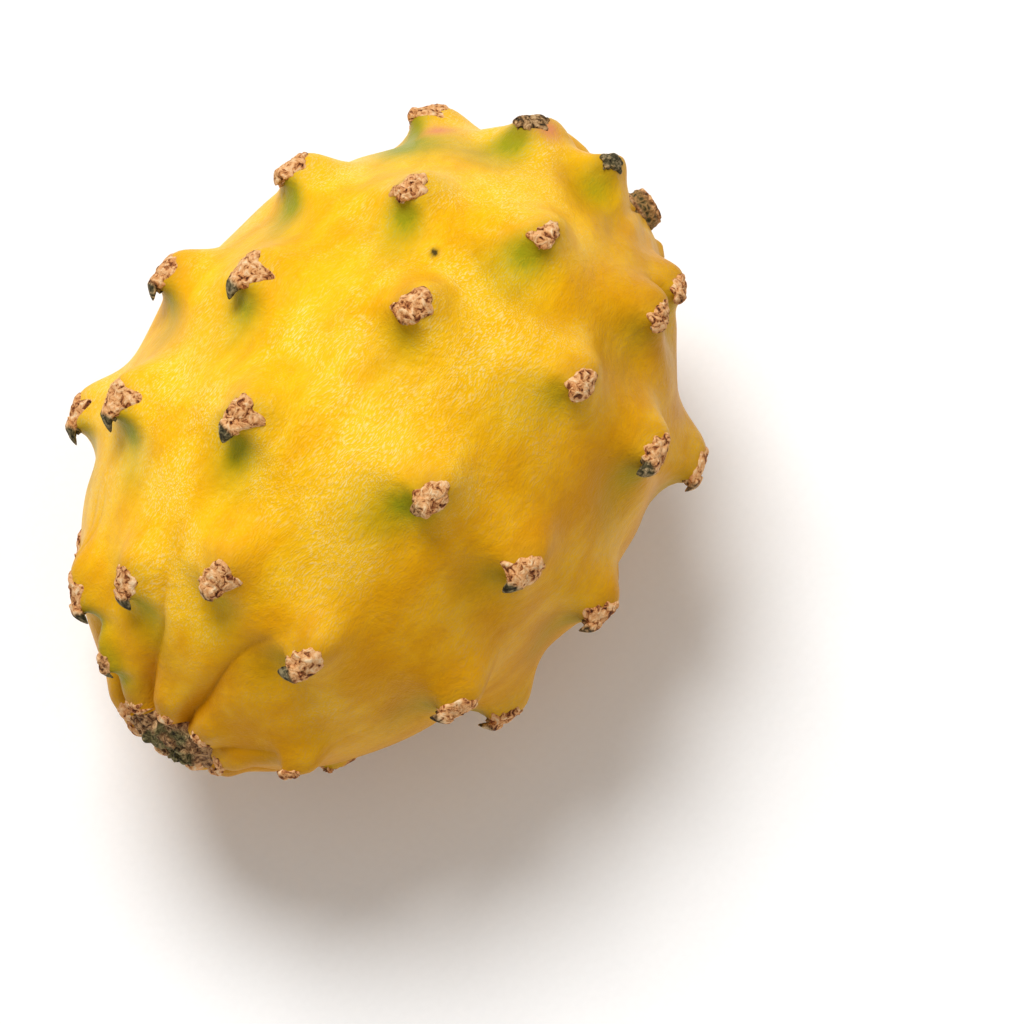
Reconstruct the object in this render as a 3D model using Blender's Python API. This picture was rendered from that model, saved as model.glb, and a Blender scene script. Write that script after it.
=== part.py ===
"""A whole yellow dragon fruit lying on its side, as one solid.

The body is an ovoid that tapers to the flower end, with its poles bowed to one side. Shield shaped
tubercles stand on it in whorls of three, each whorl one step further along and turned from the last.
Each tubercle has a gentle back towards the stem end, a steep front towards the flower end, and a
corky hook on its lip. Folds run into the flower scar, and a short stub is left at the stem end.

Frame: X runs along the fruit from the flower end (-X) to the stem end (+X), Z is up, and the origin
is on the table under the middle of the fruit.
"""

import math
import random

import bpy
import numpy as np

MM = 0.001

# Body
FLOWER_HALF = 55.0 * MM        # from the widest section to the flower end
STEM_HALF = 50.5 * MM          # from the widest section to the stem end
BODY_RADIUS = 36.6 * MM
FLOWER_TAPER = 1.25            # above 1 an end is more conical
STEM_TAPER = 1.18
FLOWER_BOW = 5.4 * MM          # how far the flower end is bowed sideways
FLOWER_BOW_POWER = 5
STEM_BOW = 7.0 * MM
STEM_BOW_POWER = 7
STEM_BOW_BACK = 0.6            # share of the bow to the other side before the end
STEM_TIP_BOW = 2.7 * MM        # and more bow close to the stem pole
STEM_TIP_REACH = 9.0 * MM
BOW_ANGLE = math.radians(190.8)
TILT_BACK = 2.2 * MM           # the flower end is turned: how far its middle goes back,
TILT_SIDEWAYS = 0.26           # and how much more for each unit of radius towards -Y
TILT_UP = 0.12                 # and upwards
TILT_REACH = math.radians(28.0)

# Broad swellings of the body: height, phi and theta in degrees, and how far they reach
SHOULDERS = (
    (0.7 * MM, 148.0, 62.0, 14.0, 42.0),
    (2.1 * MM, 157.0, 45.0, 9.0, 60.0),
    (2.2 * MM, 122.0, 182.0, 20.0, 45.0),
)

# Tubercles: whorls of three
WHORL_FIRST = -8
WHORL_LAST = 8
WHORL_STEP = 5.9 * MM          # along the skin
WHORL_TURN = math.radians(33.0)
WHORL_PHASE = math.radians(54.0)
PER_WHORL = 3
TUBERCLE_HEIGHT = 4.9 * MM
TUBERCLE_WIDTH = 9.0 * MM      # where the swelling fades out sideways
TUBERCLE_BLEND = 2.6           # power that keeps the valley between two neighbours sharp
BROAD_SHARE = 0.4              # of the height, in the broad shield under the lip
LIP_WIDTH = 3.3 * MM           # of the raised middle that carries the hook
CREST_LENGTH = 2.2 * MM        # level top behind the lip
BACK_LENGTH = 4.6 * MM
FRONT_AT = 0.2 * MM
FRONT_LENGTH = 1.7 * MM
FRONT_POWER = 1.6
FRONT_SPREAD = 0.9             # how much longer the front is a tubercle's width to the side
FRONT_SPREAD_END = 1.5         # widths to the side where it stops growing
KEEL_SHARE = 0.2               # of the height, in the low keel in front of the lip
KEEL_LENGTH = 5.44 * MM
SWEEP = 0.020 / MM             # how the lip line curves towards the flower end
HOLLOW = 0.16                  # of the height, in front of the lip
HOLLOW_AT = 5.5 * MM
HOLLOW_LENGTH = 3.2 * MM
HOLLOW_WIDTH = 5.5 * MM
HEIGHT_SPREAD = 0.08
TURN_SPREAD = math.radians(3.0)
STEP_SPREAD = 0.9 * MM
SEED = 11
FULL_WHORL = 6                 # from here to each end the tubercles get smaller
SHRINK = 0.125                 # for every whorl after that

# Tubercles off the rule: (whorl, place) to (step towards the stem end, turn)
MOVES = {
    (8, 1): (4.5 * MM, math.radians(18.0)),
    (8, 2): (0.0, math.radians(24.0)),
    (7, 1): (5.9 * MM, math.radians(17.0)),
    (7, 2): (1.1 * MM, math.radians(-14.0)),
    (6, 1): (5.0 * MM, math.radians(8.0)),
    (6, 2): (-2.0 * MM, math.radians(7.0)),
    (5, 1): (0.0, math.radians(-8.0)),
    (5, 2): (0.0, math.radians(2.0)),
    (4, 2): (-0.8 * MM, math.radians(3.0)),
    (3, 2): (-0.5 * MM, math.radians(4.0)),
    (2, 0): (4.3 * MM, math.radians(6.0)),
    (2, 2): (0.0, math.radians(-24.0)),
    (1, 0): (2.3 * MM, math.radians(2.0)),
    (0, 0): (0.0, 0.0),
    (-1, 0): (2.0 * MM, math.radians(7.0)),
    (-2, 0): (0.0, math.radians(-18.0)),
    (-2, 1): (2.7 * MM, math.radians(8.0)),
    (-3, 1): (1.0 * MM, 0.0),
    (-4, 1): (1.0 * MM, math.radians(-2.0)),
    (-5, 1): (6.0 * MM, math.radians(-3.0)),
    (-5, 2): (-6.5 * MM, math.radians(-6.0)),
    (-6, 0): (1.0 * MM, math.radians(16.0)),
    (-6, 2): (0.0, math.radians(-5.0)),
    (-7, 0): (0.0, math.radians(26.0)),
    (-7, 2): (-2.0 * MM, math.radians(-1.0)),
    (-8, 0): (-1.6 * MM, math.radians(14.0)),
    (-8, 2): (0.0, math.radians(1.0)),
}

# Tubercles of another size than their whorl's
SIZES = {(-7, 0): 0.25, (-2, 0): 0.7, (2, 2): 0.8, (6, 1): 0.95, (7, 1): 1.1, (8, 1): 1.15,
         (-8, 0): 1.0, (-8, 2): 1.3}

# The three tubercles that the fruit lies on, moved so that they stand round its weight
BEARERS = {
    (-1, 2): (-4.5 * MM, math.radians(-3.0)),
    (3, 1): (0.0, math.radians(-5.0)),
    (0, 2): (-2.0 * MM, math.radians(-4.0)),
}
TABLE_DEPTH = 39.3 * MM        # from the long axis down to the table
BEARER_SINK = 0.45 * MM        # what lying on the table flattens
CENTRE_X = -0.57 * MM          # middle of the fruit's box, from the widest section
CENTRE_Y = -1.97 * MM

# Folds into the flower scar: degrees round the fruit, the last being the first again
FOLDS_AT = (18.0, 62.0, 101.0, 150.0, 188.0, 226.0, 264.0, 302.0, 340.0, 378.0)
FOLD_SHARES = (1.0, 1.0, 1.0, 0.5, 0.35, 0.9, 1.0, 1.0, 1.0, 1.0)     # of the full depth
FOLD_DEPTH = 2.4 * MM
FOLD_REACH = math.radians(58.0)
FOLD_SHARPNESS = 7.0
FOLD_FADE = 1.3
FOLD_TWIST = math.radians(14.0)        # how far the folds turn on their way up
FOLD_TWIST_FROM = math.radians(20.0)
FOLD_TWIST_REACH = math.radians(14.0)

# Small tubercles: on the scar's rim between the folds, at the stem end, and a late one
RIM_PHI = math.radians(16.2)
RIM_HEIGHT = 1.3 * MM
STEM_RING = (math.radians(40.0), math.radians(200.0), math.radians(290.0))
STEM_RING_PHI = math.radians(160.0)
STEM_RING_HEIGHT = 2.2 * MM
SMALL_SCALE = 0.6
SMALL_HOOK = 0.5               # share of a full hook
LATE_ONE = (math.radians(26.0), math.radians(39.0))
LATE_HEIGHT = 3.0 * MM

# Flower scar and stem stub
SCAR_PHI = math.radians(13.9)
SCAR_EDGE = math.radians(0.8)
SCAR_FLATTENED = 1.4 * MM
SCAR_LUMP = 0.5 * MM
SCAR_WAVES = (9.0, 8.0)        # radians of lump across the scar's radius, both ways
SCAR_SHIFTS = (1.0, 2.0)
STUB_RADIUS = 3.1 * MM
STUB_LENGTH = 2.9 * MM
STUB_EDGE = 0.12 * MM
STUB_LEAN = math.radians(20.0)
STEEPEST = 30.0                # limit of a soft edge's exponent

# Corky hook on each lip
HOOK_BACK = 3.6 * MM           # from the lip back to the end of the cork
HOOK_FRONT = 1.6 * MM
HOOK_HALF_WIDTH = 2.7 * MM
HOOK_WAIST = 0.8               # share of that width at the lip
HOOK_TAPER = 0.14 / MM         # how the share falls towards the tip
HOOK_PROUD = 0.5 * MM
HOOK_EDGE = 0.35 * MM
HOOK_AT = 0.3 * MM
HOOK_ROOT = 1.1 * MM
HOOK_ROOT_WIDTH = 1.7 * MM
HOOK_PULL = 3.2 * MM
HOOK_DROP = 1.3 * MM
HOOK_NARROWS = 0.45

# Mesh
SEGMENTS = 240
RINGS = 150
TRIANGLES = 11300
TABLE_SIZE = 200 * MM
SHARP_ANGLE = math.radians(50.0)
DIRECTION_STEP = 1e-4          # radians of phi between the points that give a direction
WALK_POINTS = 721              # points of phi between which the skin is measured

RIND_COLOUR = (0.93, 0.55, 0.02, 1.0)
RIND_ROUGHNESS = 0.42


def material(name, colour, roughness):
    """A plain Principled material."""
    made = bpy.data.materials.new(name)
    made.use_nodes = True
    shader = made.node_tree.nodes["Principled BSDF"]
    shader.inputs["Base Color"].default_value = colour
    shader.inputs["Roughness"].default_value = roughness
    shader.inputs["Metallic"].default_value = 0.0
    made.diffuse_color = colour
    return made


def collection(name):
    """A new collection in the scene."""
    made = bpy.data.collections.new(name)
    bpy.context.scene.collection.children.link(made)
    return made


def put_in(thing, holder):
    """Move an object from its collections to another one."""
    for old in list(thing.users_collection):
        old.objects.unlink(thing)
    holder.objects.link(thing)


def body_point(phi, theta):
    """Point of the plain ovoid: phi runs from the flower pole (0) to the stem pole (pi)."""
    along = -np.cos(phi)
    to_flower = along < 0
    x = np.where(to_flower, FLOWER_HALF, STEM_HALF) * along
    radius = BODY_RADIUS * np.abs(np.sin(phi)) ** np.where(to_flower, FLOWER_TAPER, STEM_TAPER)
    bow = np.where(
        to_flower,
        FLOWER_BOW * np.abs(along) ** FLOWER_BOW_POWER,
        STEM_BOW * (np.abs(along) ** STEM_BOW_POWER - STEM_BOW_BACK * along ** 2)
        + STEM_TIP_BOW * np.exp(-((BODY_RADIUS * np.sin(phi) / STEM_TIP_REACH) ** 2)),
    )
    turned = TILT_BACK + radius * (TILT_UP * np.sin(theta) - TILT_SIDEWAYS * np.cos(theta))
    x = x + turned * np.exp(-((phi / TILT_REACH) ** 2))
    y = radius * np.cos(theta) + bow * math.cos(BOW_ANGLE)
    z = radius * np.sin(theta) + bow * math.sin(BOW_ANGLE)
    return np.stack([x + 0 * y, y, z], axis=-1)


def unit(vectors):
    """Vectors of length one."""
    return vectors / np.linalg.norm(vectors, axis=-1, keepdims=True)


def body_frame(phi, theta):
    """Point, direction towards the flower end, direction round the fruit, outward normal."""
    step = DIRECTION_STEP
    inner = np.clip(phi, 2 * step, math.pi - 2 * step)
    forward = unit(body_point(inner - step, theta) - body_point(inner + step, theta))
    round_it = np.stack([0 * theta, -np.sin(theta), np.cos(theta)], axis=-1)
    normal = unit(np.cross(forward, round_it))
    outward = np.stack([0 * theta, np.cos(theta), np.sin(theta)], axis=-1)
    outward = outward * np.sin(phi)[..., None]
    outward[..., 0] -= np.cos(phi)
    sign = np.sign(np.sum(normal * outward, axis=-1, keepdims=True))
    return body_point(phi, theta), forward, round_it, normal * sign


def skin_length(phi):
    """Length of skin for one radian of phi, and the radius there."""
    half = np.where(phi < math.pi / 2, FLOWER_HALF, STEM_HALF)
    metric = np.hypot(half * np.sin(phi), BODY_RADIUS * np.cos(phi))
    radius = BODY_RADIUS * np.sin(phi)
    return metric, radius


def phi_at(distance):
    """The phi that lies a distance along the skin from the widest section, + to the stem end."""
    table = np.linspace(0.0, math.pi, WALK_POINTS)
    metric, _ = skin_length(table)
    walked = np.concatenate([[0.0], np.cumsum((metric[1:] + metric[:-1]) / 2 * np.diff(table))])
    walked -= np.interp(math.pi / 2, table, walked)
    return float(np.interp(distance, walked, table))


def small_one(phi, theta, height, hooked):
    """A small tubercle near an end."""
    return dict(phi=phi, theta=theta, height=height, scale=SMALL_SCALE, hooked=hooked)


def tubercles():
    """Every tubercle as a dict: phi, theta, height, scale and how much of a hook it has."""
    draw = random.Random(SEED)
    found = []
    for whorl in range(WHORL_FIRST, WHORL_LAST + 1):
        for place in range(PER_WHORL):
            theta = WHORL_PHASE + WHORL_TURN * whorl + 2 * math.pi * place / PER_WHORL
            distance = WHORL_STEP * whorl
            height = TUBERCLE_HEIGHT * (1 + HEIGHT_SPREAD * draw.uniform(-1, 1))
            stray = (STEP_SPREAD * draw.uniform(-1, 1), TURN_SPREAD * draw.uniform(-1, 1))
            key = (whorl, place)
            step, turn = BEARERS.get(key, MOVES.get(key, stray))
            phi = phi_at(distance + step)
            theta = (theta + turn) % (2 * math.pi)
            if key in BEARERS:
                reach = (TABLE_DEPTH + BEARER_SINK) / abs(math.sin(theta))
                height = reach - math.hypot(*body_point(np.array(phi), np.array(theta))[1:])
            scale = (1.0 - SHRINK * max(0, abs(whorl) - FULL_WHORL)) * SIZES.get(key, 1.0)
            found.append(dict(phi=phi, theta=theta, height=height * scale, scale=scale, hooked=1.0))
    for before, after in zip(FOLDS_AT, FOLDS_AT[1:]):
        theta = math.radians((before + after) / 2)
        found.append(small_one(RIM_PHI, theta, RIM_HEIGHT, 0.0))
    phi, theta = LATE_ONE
    found.append(small_one(phi, theta, LATE_HEIGHT, SMALL_HOOK))
    for theta in STEM_RING:
        found.append(small_one(STEM_RING_PHI, theta, STEM_RING_HEIGHT, 0.0))
    return found


def swelling(along, across, scale):
    """Height of a tubercle of height 1: along is towards the flower end, across is sideways.

    height = side(across) * back(a) * (front(a) and a low keel), a = along - SWEEP * across^2
    side = (1 - BROAD_SHARE) exp(-(across / LIP_WIDTH)^2) + BROAD_SHARE exp(-(across / TUBERCLE_WIDTH)^2)
    back = exp(-(min(a + CREST_LENGTH, 0) / BACK_LENGTH)^2)
    front = exp(-(max(a - FRONT_AT, 0) / fall)^FRONT_POWER), and fall grows away from the middle
    """
    a = along - SWEEP * across ** 2
    side = (1 - BROAD_SHARE) * np.exp(-((across / (LIP_WIDTH * scale)) ** 2))
    side = side + BROAD_SHARE * np.exp(-((across / (TUBERCLE_WIDTH * scale)) ** 2))
    back = np.exp(-((np.minimum(a + CREST_LENGTH, 0.0) / (BACK_LENGTH * scale)) ** 2))
    widths = np.minimum(np.abs(across) / TUBERCLE_WIDTH, FRONT_SPREAD_END)
    fall = FRONT_LENGTH * scale * (1.0 + FRONT_SPREAD * widths)
    front = np.exp(-((np.maximum(a - FRONT_AT, 0.0) / fall) ** FRONT_POWER))
    keel = np.exp(-((np.maximum(a, 0.0) / KEEL_LENGTH) ** 2))
    return side * back * ((1 - KEEL_SHARE) * front + KEEL_SHARE * keel)


def hollow(along, across, scale):
    """Depth of the hollow in front of the lip of a tubercle of height 1."""
    from_middle = (along - HOLLOW_AT * scale) / (HOLLOW_LENGTH * scale)
    sideways = across / (HOLLOW_WIDTH * scale)
    return HOLLOW * np.exp(-(from_middle ** 2) - sideways ** 2)


def above(value, limit, edge):
    """0 under a limit and 1 over it, with a soft edge."""
    ramp = np.clip((limit - value) / edge, -STEEPEST, STEEPEST)
    return 1.0 / (1.0 + np.exp(ramp))


def folds(phi, theta):
    """Depth of the folds that run into the flower scar and turn a little on their way up from it."""
    way = 1.0 - np.exp(-np.maximum(phi - FOLD_TWIST_FROM, 0.0) / FOLD_TWIST_REACH)
    around = np.degrees(theta - FOLD_TWIST * way) % 360.0
    around = np.where(around < FOLDS_AT[0], around + 360.0, around)
    number = np.interp(around, FOLDS_AT, np.arange(len(FOLDS_AT)))
    wave = np.abs(np.cos(number * math.pi))
    depth = FOLD_DEPTH * np.interp(around, FOLDS_AT, FOLD_SHARES)
    reach = np.clip(1.0 - phi / FOLD_REACH, 0.0, 1.0)
    outside = above(phi, SCAR_PHI, SCAR_EDGE)
    return depth * wave ** FOLD_SHARPNESS * reach ** FOLD_FADE * outside


def cork(along, across, scale):
    """Thickness of the cork on a lip, a shield that is widest near its back."""
    half = HOOK_HALF_WIDTH * scale * (HOOK_WAIST - HOOK_TAPER * along / scale)
    lengthways = above(along, -HOOK_BACK * scale, HOOK_EDGE) * above(-along, -HOOK_FRONT * scale, HOOK_EDGE)
    sideways = above(across, -half, HOOK_EDGE) * above(-across, -half, HOOK_EDGE)
    return HOOK_PROUD * lengthways * sideways


def scar(phi, theta):
    """The flower scar is flattened to a disc and lumpy all over."""
    across = phi / SCAR_PHI
    one_way = np.sin(SCAR_WAVES[0] * across * np.cos(theta) + SCAR_SHIFTS[0])
    other_way = np.sin(SCAR_WAVES[1] * across * np.sin(theta) + SCAR_SHIFTS[1])
    inside = above(-phi, -SCAR_PHI, SCAR_EDGE)
    flattened = SCAR_FLATTENED * np.maximum(1.0 - across ** 2, 0.0)
    return SCAR_LUMP * one_way * other_way * inside - flattened


def shoulders(phi, theta):
    """Height of the broad swellings of the body, each a bell in phi and theta."""
    total = np.zeros_like(phi)
    for height, at_phi, at_theta, reach_phi, reach_theta in SHOULDERS:
        lengthways = (np.degrees(phi) - at_phi) / reach_phi
        sideways = ((np.degrees(theta) - at_theta + 180.0) % 360.0 - 180.0) / reach_theta
        total += height * np.exp(-(lengthways ** 2) - sideways ** 2)
    return total


def stub(phi):
    """How far the skin is drawn out at the stem pole into the stub."""
    from_pole = np.where(phi > math.pi / 2, BODY_RADIUS * np.sin(phi), BODY_RADIUS)
    return STUB_LENGTH * above(-from_pole, -STUB_RADIUS, STUB_EDGE)


def skin(phi, theta, places):
    """Skin point: the ovoid raised by its tubercles, with each lip drawn out into a hook."""
    point, forward, round_it, normal = body_frame(phi, theta)
    total = np.zeros_like(phi)
    shift = np.zeros_like(point)
    crust = np.zeros_like(phi)
    for spot in places:
        scale = spot["scale"]
        metric, radius = skin_length(np.array(spot["phi"]))
        along = (spot["phi"] - phi) * metric
        turn = (theta - spot["theta"] + math.pi) % (2 * math.pi) - math.pi
        across = turn * radius
        total += (spot["height"] * swelling(along, across, scale)) ** TUBERCLE_BLEND
        crust += cork(along, across, scale) - spot["height"] * hollow(along, across, scale)
        root = np.exp(-(((along - HOOK_AT * scale) / (HOOK_ROOT * scale)) ** 2))
        root = root * np.exp(-((across / (HOOK_ROOT_WIDTH * scale)) ** 2))
        root = root * spot["hooked"]
        shift += forward * (HOOK_PULL * scale * root)[..., None]
        shift -= normal * (HOOK_DROP * scale * root ** 2)[..., None]
        shift -= round_it * (HOOK_NARROWS * across * root)[..., None]
    raised = total ** (1 / TUBERCLE_BLEND) + crust - folds(phi, theta) + scar(phi, theta)
    raised += shoulders(phi, theta)
    lean = math.sin(STUB_LEAN)
    pulled = np.array([math.cos(STUB_LEAN), lean * math.cos(BOW_ANGLE), lean * math.sin(BOW_ANGLE)])
    return point + normal * raised[..., None] + shift + pulled * stub(phi)[..., None]


def make_body(places):
    """The body from a UV sphere, its points moved onto the skin."""
    bpy.ops.mesh.primitive_uv_sphere_add(segments=SEGMENTS, ring_count=RINGS, radius=1.0)
    body = bpy.context.object
    count = len(body.data.vertices)
    flat = np.empty(count * 3)
    body.data.vertices.foreach_get("co", flat)
    ball = flat.reshape(count, 3)
    phi = np.arccos(np.clip(ball[:, 2], -1.0, 1.0))
    theta = -np.arctan2(ball[:, 1], ball[:, 0])
    body.data.vertices.foreach_set("co", skin(phi, theta, places).ravel())
    body.data.update()
    return body


def thin_out(body):
    """Bring the skin down to its triangles, fine on the hooks and coarse between them."""
    now = sum(len(face.vertices) - 2 for face in body.data.polygons)
    thin = body.modifiers.new("Thin", "DECIMATE")
    thin.ratio = TRIANGLES / now
    bpy.context.view_layer.objects.active = body
    bpy.ops.object.modifier_apply(modifier=thin.name)


def lay_on_table(body, cutters):
    """Cut the lowest hooks flat at the table and bring the origin under the fruit."""
    middle = (0.0, 0.0, -TABLE_DEPTH - TABLE_SIZE / 2)
    bpy.ops.mesh.primitive_cube_add(size=TABLE_SIZE, location=middle)
    table = bpy.context.object
    table.name = "table_cutter"
    table.hide_render = True
    table.display_type = "WIRE"
    put_in(table, cutters)
    cut = body.modifiers.new("Flats", "BOOLEAN")
    cut.operation = "DIFFERENCE"
    cut.object = table
    cut.solver = "EXACT"
    bpy.context.view_layer.objects.active = body
    bpy.ops.object.modifier_apply(modifier=cut.name)
    body.location = (-CENTRE_X, -CENTRE_Y, TABLE_DEPTH)


def main():
    for thing in list(bpy.data.objects):
        bpy.data.objects.remove(thing, do_unlink=True)
    fruit = collection("dragon_fruit")
    cutters = collection("cutters")

    body = make_body(tubercles())
    body.name = "dragon_fruit"
    put_in(body, fruit)
    body.data.materials.append(material("rind", RIND_COLOUR, RIND_ROUGHNESS))

    thin_out(body)
    lay_on_table(body, cutters)
    body.data.shade_smooth()
    body.data.set_sharp_from_angle(angle=SHARP_ANGLE)


main()
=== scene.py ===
"""A whole yellow dragon fruit on a pale studio floor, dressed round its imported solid.

The rind, the cork hooks, the flower scar and the stem stub are surfaces worked out with numpy from the
same ovoid and the same places as the solid. Everything is in metres, X along the fruit from the
flower end (-X) to the stem end (+X), Z up.
"""

import functools
import itertools
import math
import random

import bpy
import numpy as np
from bpy.props import FloatProperty, FloatVectorProperty, PointerProperty
from mathutils import Matrix


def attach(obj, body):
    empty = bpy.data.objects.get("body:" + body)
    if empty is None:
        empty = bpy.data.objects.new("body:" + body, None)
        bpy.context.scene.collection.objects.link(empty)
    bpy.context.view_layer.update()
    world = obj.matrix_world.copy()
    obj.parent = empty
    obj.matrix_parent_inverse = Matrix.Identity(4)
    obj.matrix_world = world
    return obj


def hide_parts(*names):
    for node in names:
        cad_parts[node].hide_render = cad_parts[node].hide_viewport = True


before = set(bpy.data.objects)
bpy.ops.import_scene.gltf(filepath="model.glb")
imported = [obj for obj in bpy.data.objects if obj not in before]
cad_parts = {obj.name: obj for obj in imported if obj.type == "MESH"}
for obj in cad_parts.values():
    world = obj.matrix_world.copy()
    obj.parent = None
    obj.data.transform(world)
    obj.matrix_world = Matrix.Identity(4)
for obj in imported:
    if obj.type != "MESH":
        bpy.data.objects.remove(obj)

bl_info = {
    "name": "Dragon Fruit",
    "version": (1, 0, 0),
    "blender": (4, 5, 0),
    "location": "3D View > Sidebar > Dragon Fruit",
    "description": "Builds a whole yellow dragon fruit with its corky hooks, flower scar and stem stub",
    "category": "Add Mesh",
}

MM = 0.001
TURN = 2 * math.pi

# Body, as the solid has it
FLOWER_HALF = 55.0 * MM
STEM_HALF = 50.5 * MM
BODY_RADIUS = 36.6 * MM
FLOWER_TAPER = 1.25
STEM_TAPER = 1.18
FLOWER_BOW = 5.4 * MM
FLOWER_BOW_POWER = 5
STEM_BOW = 7.0 * MM
STEM_BOW_POWER = 7
STEM_BOW_BACK = 0.6
STEM_TIP_BOW = 2.7 * MM
STEM_TIP_REACH = 9.0 * MM
BOW_ANGLE = math.radians(190.8)
TILT_BACK = 2.2 * MM
TILT_SIDEWAYS = 0.26
TILT_UP = 0.12
TILT_REACH = math.radians(28.0)

# Broad swellings of the body: height, phi and theta in degrees, reaches. The solid has the first three
SHOULDERS = (
    (0.7 * MM, 148.0, 62.0, 14.0, 42.0),
    (2.1 * MM, 157.0, 45.0, 9.0, 60.0),
    (2.2 * MM, 122.0, 182.0, 20.0, 45.0),
    (1.4 * MM, 25.0, 161.0, 8.0, 14.0),
)

# Tubercles, as the solid has them
WHORL_FIRST = -8
WHORL_LAST = 8
WHORL_STEP = 5.9 * MM
WHORL_TURN = math.radians(33.0)
WHORL_PHASE = math.radians(54.0)
PER_WHORL = 3
TUBERCLE_HEIGHT = 4.9 * MM
TUBERCLE_WIDTH = 9.0 * MM
TUBERCLE_BLEND = 2.6
BROAD_SHARE = 0.4
LIP_WIDTH = 3.3 * MM
CREST_LENGTH = 2.2 * MM
BACK_LENGTH = 4.6 * MM
FRONT_AT = 0.2 * MM
FRONT_LENGTH = 1.7 * MM
FRONT_POWER = 1.6
FRONT_SPREAD = 0.9
FRONT_SPREAD_END = 1.5
KEEL_SHARE = 0.2
KEEL_LENGTH = 5.44 * MM
SWEEP = 0.020 / MM
HOLLOW = 0.16
SMOOTH_FRONTS = {(-8, 0)}      # tubercles without a hollow, in the scene alone
HOLLOW_AT = 5.5 * MM
HOLLOW_LENGTH = 3.2 * MM
HOLLOW_WIDTH = 5.5 * MM
HEIGHT_SPREAD = 0.08
TURN_SPREAD = math.radians(3.0)
STEP_SPREAD = 0.9 * MM
SEED = 11
FULL_WHORL = 6
SHRINK = 0.125

# Tubercles off the rule: (whorl, place) to (millimetres towards the stem end, degrees of turn)
MOVES = {
    (8, 1): (4.5, 18), (8, 2): (0, 24), (7, 1): (5.9, 17), (7, 2): (1.1, -14), (6, 1): (5.0, 8),
    (6, 2): (-2.0, 7), (5, 1): (0, -8), (5, 2): (0, 2), (4, 2): (-0.8, 3), (3, 2): (-0.5, 4),
    (2, 0): (4.3, 6), (2, 2): (0, -24), (1, 0): (2.3, 2), (0, 0): (0, 0), (-1, 0): (2.0, 7),
    (-2, 0): (0, -18), (-2, 1): (2.7, 8), (-3, 1): (1.0, 0), (-4, 1): (1.0, -2), (-5, 1): (6.0, -3),
    (-5, 2): (-6.5, -6), (-6, 0): (1.0, 16), (-6, 2): (0, -5), (-7, 0): (0, 26), (-7, 2): (-2.0, -1),
    (-8, 0): (-1.6, 14), (-8, 2): (0, 1),
}
SIZES = {(-7, 0): 0.25, (-2, 0): 0.7, (2, 2): 0.8, (6, 1): 0.95, (7, 1): 1.1, (8, 1): 1.15,
         (-8, 0): 1.0, (-8, 2): 1.3}
BEARERS = {(-1, 2): (-4.5, -3), (3, 1): (0, -5), (0, 2): (-2.0, -4)}
TABLE_DEPTH = 39.3 * MM
BEARER_SINK = 0.45 * MM
CENTRE = np.array([-0.57 * MM, -1.97 * MM, -TABLE_DEPTH])

# Folds into the flower scar: degrees round the fruit, the last being the first again
FOLDS_AT = (18.0, 62.0, 101.0, 150.0, 188.0, 226.0, 264.0, 302.0, 340.0, 378.0)
# Share of the full depth; the solid has 0.5 at 150 and 0.35 at 188 degrees
FOLD_SHARES = (1.0, 1.0, 1.0, 0.12, 0.3, 0.9, 1.0, 1.0, 1.0, 1.0)
FOLD_DEPTH = 2.4 * MM
FOLD_REACH = math.radians(58.0)
FOLD_SHARPNESS = 7.0
FOLD_FADE = 1.3
FOLD_TWIST = math.radians(14.0)
FOLD_TWIST_FROM = math.radians(20.0)
FOLD_TWIST_REACH = math.radians(14.0)
CREASE_DEPTH = 1.3 * MM        # extra depth of the narrow crease in the middle of a fold
CREASE_WIDTH = 0.55 * MM
CREASE_WANDER = 3.0            # degrees, to each side of its line
CREASE_WAVES = 9.0             # for one radian of phi

# Small tubercles: on the scar's rim between the folds, at the stem end, and a late one
RIM_PHI = math.radians(16.2)
RIM_HEIGHT = 1.3 * MM
STEM_RING = (math.radians(40.0), math.radians(200.0), math.radians(290.0))
STEM_RING_PHI = math.radians(160.0)
STEM_RING_HEIGHT = 2.2 * MM
SMALL_SCALE = 0.6
SMALL_HOOK = 0.5
LATE_PHI = math.radians(26.0)
LATE_THETA = math.radians(39.0)
LATE_HEIGHT = 3.0 * MM

# Slow unevenness of the rind: heights and cells
UNEVEN = ((0.6 * MM, 13 * MM), (0.22 * MM, 4.5 * MM))
# Low ridges along the skin at the stem end, about 6 mm apart
RIDGE_HEIGHT = 1.1 * MM
RIDGE_CELL = 0.9
RIDGE_RING = 5.0
RIDGE_STRETCH = 0.7
RIDGES_FROM = math.radians(118.0)
RIDGES_EDGE = math.radians(9.0)

# Flower scar: its place as the solid has it, then the disc on it
SCAR_PHI = math.radians(13.9)
SCAR_EDGE = math.radians(0.8)
SCAR_FLATTENED = 1.4 * MM
DISC_REACH = math.radians(14.8)
DISC_THICKNESS = 0.45 * MM
DISC_DOME = 2.2 * MM
DISC_UNDER = 0.9 * MM
RIM_CORK_LONG = 1.25 * MM
RIM_CORK_WIDE = 2.6 * MM
RIM_CORK_SHARE = 0.6           # of the relief of the cork on a hook

# Stem stub: the wall takes the first share of its profile, the end the rest
STUB_LEAN = math.radians(20.0)
STUB_WALL = 0.62
STUB_RADIUS = 3.1 * MM
STUB_FLARE = 0.7 * MM
STUB_ROOT = 1.4 * MM
STUB_LENGTH = 4.4 * MM
STUB_CUP = 0.5 * MM

# Lip of the rind under each hook
LIP_AT = 0.3 * MM
LIP_ROOT = 1.2 * MM
LIP_ROOT_WIDTH = 2.0 * MM
LIP_PULL = 1.7 * MM
LIP_DROP = 0.5 * MM

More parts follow.
